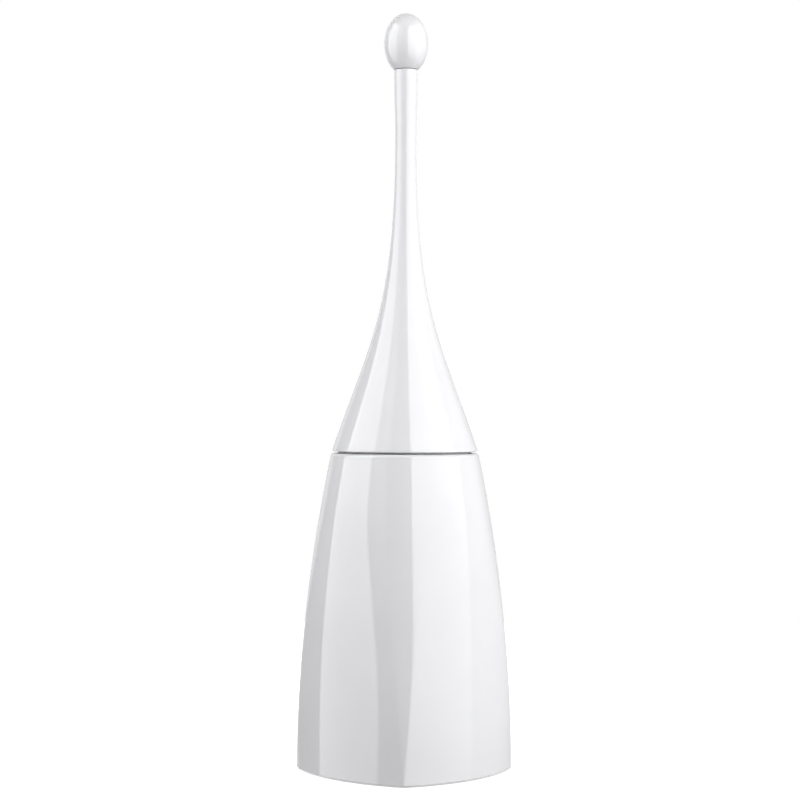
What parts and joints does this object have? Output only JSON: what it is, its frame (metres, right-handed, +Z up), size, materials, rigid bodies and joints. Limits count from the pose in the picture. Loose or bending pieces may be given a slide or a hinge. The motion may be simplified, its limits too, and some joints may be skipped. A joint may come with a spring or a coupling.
{
  "type": "toilet brush holder",
  "caption": "Free-standing toilet brush holder with a bellied body of bowed faces, a lift-out drip liner and a brush whose conical lid runs up into a slim handle with an egg-shaped knob.",
  "frame": {"origin": "centre of the footprint, on the surface that the feet stand on", "axes": "+Z up along the handle; the four bowed faces of the holder look along +X, -X, +Y and -Y, its corners lie on the diagonals"},
  "size_m": [0.1208, 0.1208, 0.48],
  "materials": {
    "gloss_white": "polished white ABS",
    "satin_white": "satin white polypropylene",
    "liner_white": "semi-gloss white polypropylene",
    "bristle_nylon": "crimped white nylon filament",
    "soft_grey": "matte grey thermoplastic elastomer",
    "foot_rubber": "matte grey rubber",
    "zinc_steel": "zinc-plated steel",
    "brass": "turned brass"
  },
  "bodies": {
    "holder": {"holder_shell": "gloss_white", "base_plate": "satin_white", "foot_1": "foot_rubber", "foot_2": "foot_rubber", "foot_3": "foot_rubber", "foot_4": "foot_rubber", "base_screw_1": "zinc_steel", "base_screw_2": "zinc_steel", "base_screw_3": "zinc_steel", "base_screw_4": "zinc_steel"},
    "liner": {"drip_liner": "liner_white"},
    "seat": {"seat_ring": "soft_grey"},
    "brush": {"handle_cone": "gloss_white", "knob": "gloss_white", "knob_insert": "brass", "core_rod": "zinc_steel", "lid_plate": "satin_white", "stem": "satin_white", "stem_insert": "brass", "brush_core": "satin_white", "bristle_row_1": "bristle_nylon", "bristle_row_2": "bristle_nylon", "bristle_row_3": "bristle_nylon", "bristle_row_4": "bristle_nylon", "bristle_row_5": "bristle_nylon", "bristle_row_6": "bristle_nylon", "bristle_tip": "bristle_nylon"}
  },
  "joints": [
    {"name": "liner_lift", "type": "slide", "parent": "holder", "child": "liner", "axis": [0, 0, 1], "range_m": [0, 0.2]},
    {"name": "brush_lift", "type": "slide", "parent": "liner", "child": "seat", "axis": [0, 0, 1], "range_m": [0, 0.2]},
    {"name": "brush_turn", "type": "hinge", "parent": "seat", "child": "brush", "pos_m": [0, 0, 0.2], "axis": [0, 0, 1], "continuous": true}
  ]
}
